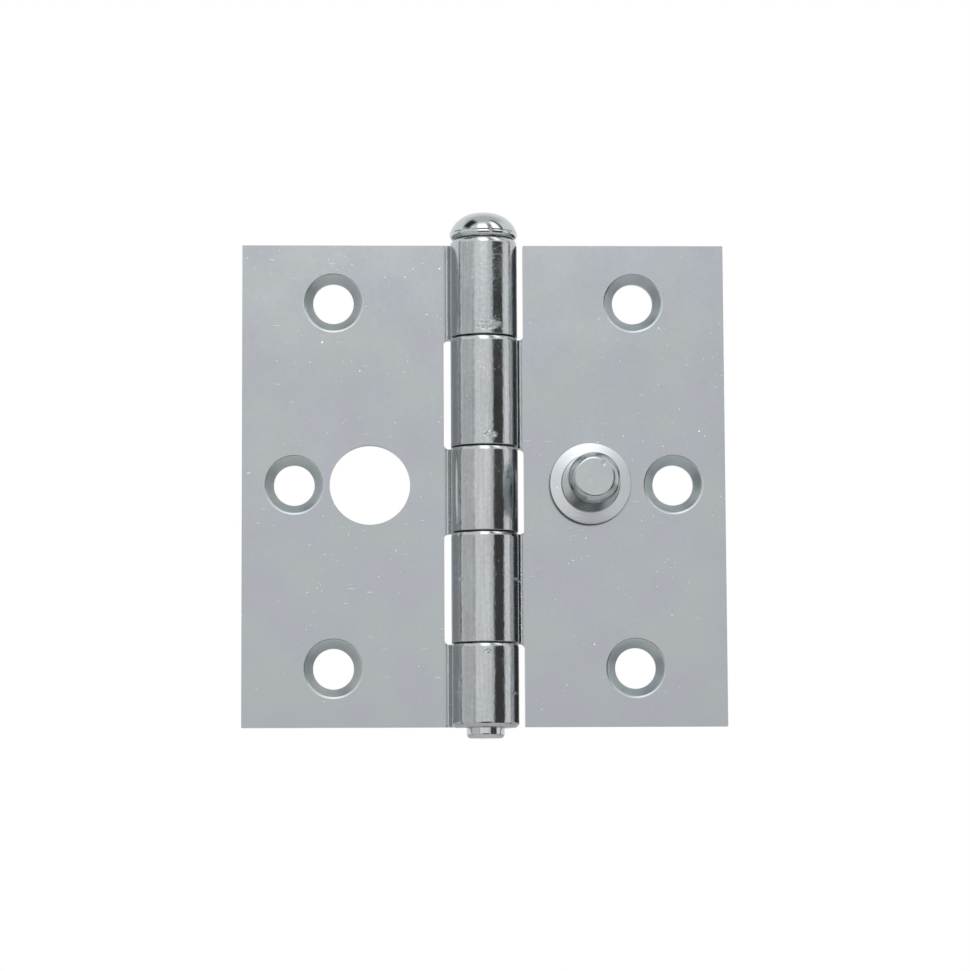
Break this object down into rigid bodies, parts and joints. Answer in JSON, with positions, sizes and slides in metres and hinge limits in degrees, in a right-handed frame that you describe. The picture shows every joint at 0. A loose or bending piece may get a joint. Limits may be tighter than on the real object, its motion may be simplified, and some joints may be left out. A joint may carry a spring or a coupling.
{
  "type": "security hinge",
  "caption": "Butt hinge opened flat: two rolled leaves on a loose domed pin, countersunk screw holes, and a riveted stud that locks into the other leaf's hole when closed.",
  "frame": {"origin": "on the axis of the pin, at half the height of the leaves", "axes": "+Z along the pin towards its head, +X from the pin towards the door leaf when opened flat, -Y to the side that the screws and the stud are on"},
  "size_m": [0.089, 0.0179, 0.0969],
  "materials": {
    "leaf_plate": "pale blue-grey bright zinc plate on rolled sheet, with faint mottling",
    "stud_steel": "bright zinc plate on turned steel",
    "pin_steel": "bright zinc plate on drawn steel, polished head"
  },
  "bodies": {
    "frame_leaf": {"frame_leaf": "leaf_plate"},
    "door_leaf": {"door_leaf": "leaf_plate", "security_stud": "stud_steel"},
    "pin": {"hinge_pin": "pin_steel"}
  },
  "joints": [
    {"name": "leaf_swing", "type": "hinge", "parent": "frame_leaf", "child": "door_leaf", "pos_m": [0, 0, 0], "axis": [0, 0, -1], "range_deg": [-115, 180]},
    {"name": "pin_lift", "type": "slide", "parent": "frame_leaf", "child": "pin", "axis": [0, 0, 1], "range_m": [0, 0.095]}
  ]
}
